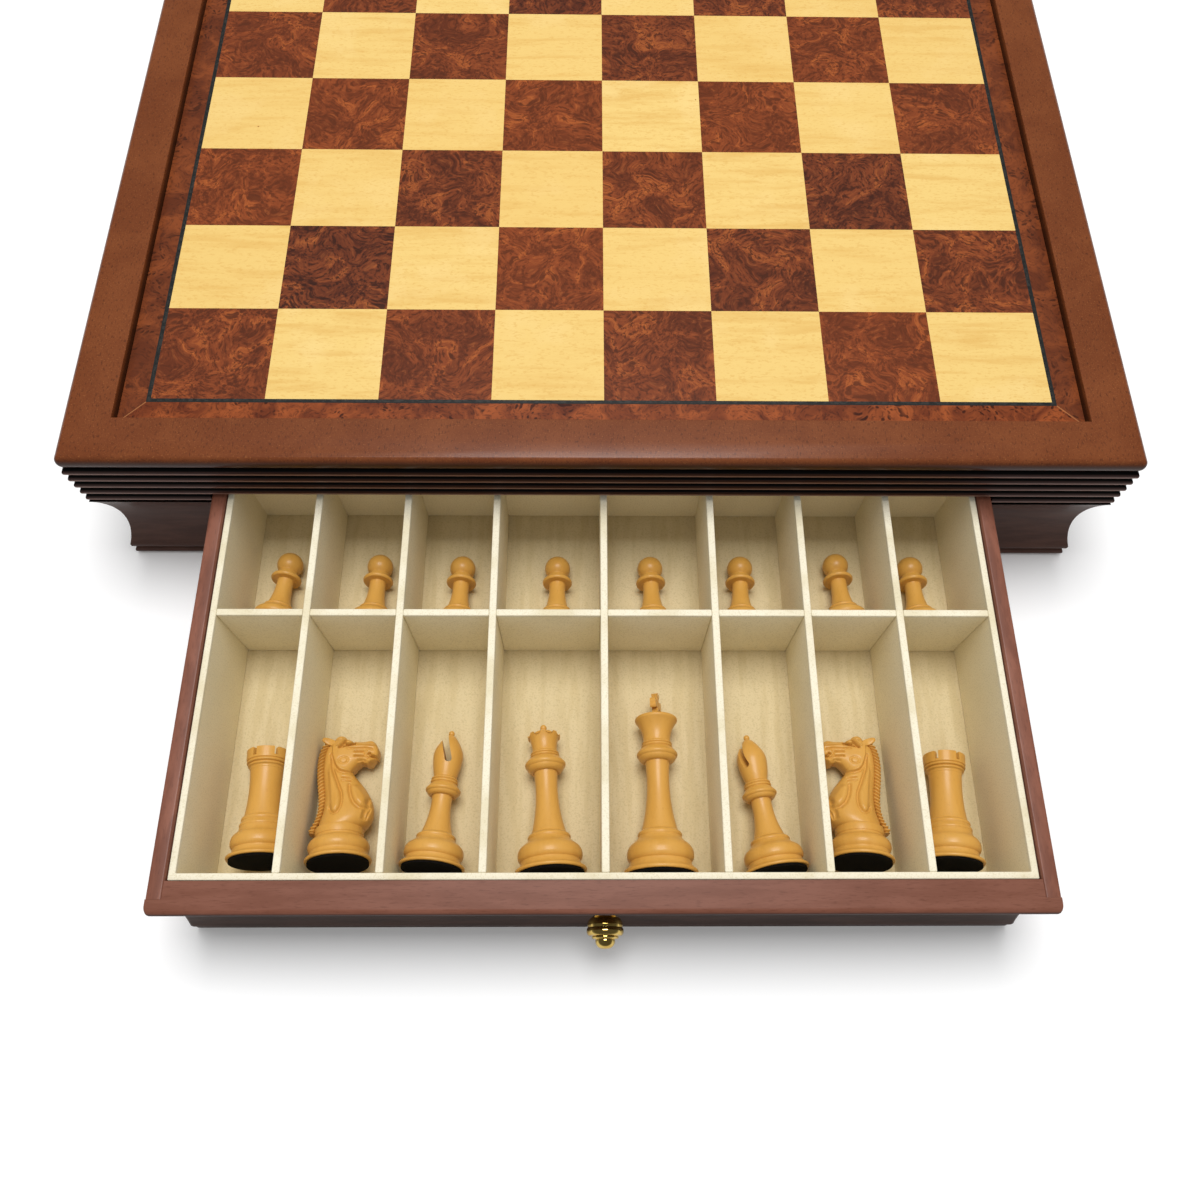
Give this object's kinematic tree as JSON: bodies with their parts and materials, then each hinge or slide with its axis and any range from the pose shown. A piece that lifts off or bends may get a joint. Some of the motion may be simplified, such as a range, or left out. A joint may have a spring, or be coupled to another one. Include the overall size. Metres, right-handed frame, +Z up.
{
  "type": "chess box with drawers",
  "caption": "Square wooden chess box: inlaid board on a moulded case, with lined drawers that slide out to the front and to the back; a set of men lies in the open drawer.",
  "frame": {"origin": "centre of the case's flat bottom, on the surface it stands on", "axes": "+Z up, -Y towards the open drawer (a player's side), +X to that player's right"},
  "size_m": [0.536, 0.7712, 0.094],
  "materials": {
    "top_lacquer": "satin lacquer, speckled brown",
    "inner_wood": "plain, unfinished",
    "panel_wood": "thin plywood",
    "dark_veneer": "burl veneer, satin lacquer",
    "light_veneer": "maple veneer, satin lacquer",
    "line_veneer": "black line",
    "border_veneer": "burl veneer, satin lacquer",
    "moulding": "dark chocolate, satin lacquer",
    "drawer_face": "dark brown, satin lacquer",
    "drawer_wood": "reddish brown, satin lacquer",
    "floor_cloth": "matt beige cloth",
    "lined_card": "board covered with cream flock",
    "polished_brass": "polished",
    "steel": "zinc plated",
    "boxwood": "satin lacquer, golden tan",
    "black_pad": "matt black"
  },
  "bodies": {
    "case": {"top_frame": "top_lacquer", "top_panel": "inner_wood", "board_core": "inner_wood", "dark_squares": "dark_veneer", "light_squares": "light_veneer", "inlay_line": "line_veneer", "burl_border": "border_veneer", "reeded_front": "moulding", "reeded_back": "moulding", "reeded_left": "moulding", "reeded_right": "moulding", "side_left": "moulding", "side_right": "moulding", "post_front_left": "moulding", "post_front_right": "moulding", "post_back_left": "moulding", "post_back_right": "moulding", "guide_left": "inner_wood", "guide_right": "inner_wood", "bottom_panel": "panel_wood", "partition": "inner_wood", "drawer_stops": "inner_wood"},
    "front_drawer": {"front_drawer_front": "drawer_face", "front_drawer_side_left": "drawer_wood", "front_drawer_side_right": "drawer_wood", "front_drawer_back": "drawer_wood", "front_drawer_bottom": "panel_wood", "front_floor_lining": "floor_cloth", "front_liner_walls": "lined_card", "front_long_dividers": "lined_card", "front_cross_dividers": "lined_card", "front_knob": "polished_brass", "front_knob_screw": "steel", "pawns": "boxwood", "rook_left": "boxwood", "rook_right": "boxwood", "knight_left": "boxwood", "knight_right": "boxwood", "bishop_left": "boxwood", "bishop_right": "boxwood", "queen": "boxwood", "king": "boxwood", "base_pads": "black_pad"},
    "back_drawer": {"back_drawer_front": "drawer_face", "back_drawer_side_left": "drawer_wood", "back_drawer_side_right": "drawer_wood", "back_drawer_back": "drawer_wood", "back_drawer_bottom": "panel_wood", "back_floor_lining": "floor_cloth", "back_liner_walls": "lined_card", "back_long_dividers": "lined_card", "back_cross_dividers": "lined_card", "back_knob": "polished_brass", "back_knob_screw": "steel"}
  },
  "joints": [
    {"name": "front_drawer_slide", "type": "slide", "parent": "case", "child": "front_drawer", "axis": [0, -1, 0], "range_m": [-0.21, 0.005]},
    {"name": "back_drawer_slide", "type": "slide", "parent": "case", "child": "back_drawer", "axis": [0, 1, 0], "range_m": [0, 0.215]}
  ]
}
